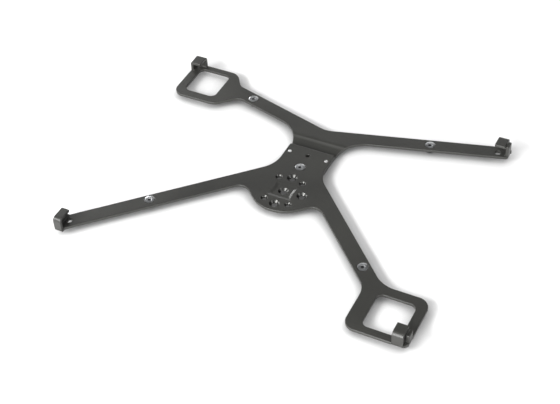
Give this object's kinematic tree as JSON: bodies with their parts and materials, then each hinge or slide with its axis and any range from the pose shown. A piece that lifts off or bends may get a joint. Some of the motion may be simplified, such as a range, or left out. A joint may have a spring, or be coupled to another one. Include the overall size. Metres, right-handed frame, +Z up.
{
  "type": "tablet mounting frame",
  "caption": "X-shaped sheet-metal frame that holds a flat tablet by hooked corners; its rear bracket slides open to free the tablet.",
  "frame": {"origin": "centre of the outline in plan, on the plane the feet stand on", "axes": "+X along the tablet's long side, to the right; +Y towards the sliding rear bracket; +Z up, out of the pocket"},
  "size_m": [0.287, 0.2236, 0.017],
  "materials": {
    "coated_steel": "fine-textured satin powder coat, charcoal grey",
    "zinc_steel": "bright zinc-plated steel",
    "brass": "turned brass",
    "rubber": "matt black rubber"
  },
  "bodies": {
    "front": {"front_bracket": "coated_steel", "guide_pin_left": "zinc_steel", "guide_pin_right": "zinc_steel", "screw_front_left": "zinc_steel", "insert_front_left": "brass", "foot_front_left": "rubber", "screw_front_right": "zinc_steel", "insert_front_right": "brass", "foot_front_right": "rubber", "lock_tee_nut": "zinc_steel"},
    "rear": {"rear_bracket": "coated_steel", "screw_rear_left": "zinc_steel", "insert_rear_left": "brass", "foot_rear_left": "rubber", "screw_rear_right": "zinc_steel", "insert_rear_right": "brass", "foot_rear_right": "rubber"},
    "lock_screw": {"lock_screw": "zinc_steel"}
  },
  "joints": [
    {"name": "bracket_slide", "type": "slide", "parent": "front", "child": "rear", "axis": [0, 1, 0], "range_m": [0, 0.01]},
    {"name": "lock_turn", "type": "hinge", "parent": "front", "child": "lock_screw", "pos_m": [-0.00205, 0.02475, 0.0069], "axis": [0, 0, 1], "range_deg": [0, 180]}
  ]
}
